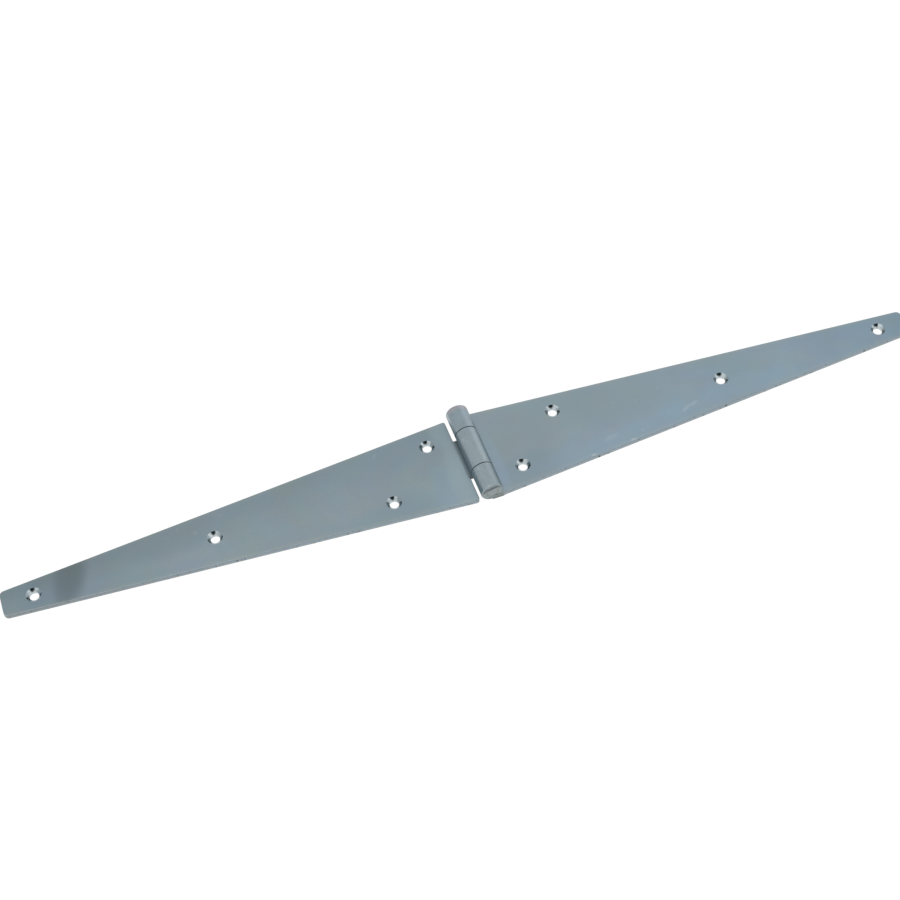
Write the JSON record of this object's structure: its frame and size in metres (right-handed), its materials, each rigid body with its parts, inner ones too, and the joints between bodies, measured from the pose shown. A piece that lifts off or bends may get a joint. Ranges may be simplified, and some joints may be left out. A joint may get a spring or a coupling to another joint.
{
  "type": "strap hinge",
  "caption": "Strap hinge with long tapered leaves, countersunk screw holes and rolled knuckles turning on a flush pin, for doors, gates and lids.",
  "frame": {"origin": "under the middle of the pin, on the plane of the straps' back faces (the centre of the bounding box's bottom)", "axes": "+X along the straps towards the leaf with the outer knuckles, +Y along the pin, +Z out of the countersunk face, on which the barrel stands"},
  "size_m": [0.5, 0.0554, 0.012],
  "materials": {
    "zinc_steel": "satin zinc plate, slightly mottled, brighter at the cut edges",
    "pin_steel": "satin, cut ends"
  },
  "bodies": {
    "frame_strap": {"right_leaf": "zinc_steel", "hinge_pin": "pin_steel"},
    "swinging_strap": {"left_leaf": "zinc_steel"}
  },
  "joints": [
    {"name": "strap_turn", "type": "hinge", "parent": "frame_strap", "child": "swinging_strap", "pos_m": [0, 0, 0.006], "axis": [0, 1, 0], "range_deg": [-95, 180]}
  ]
}
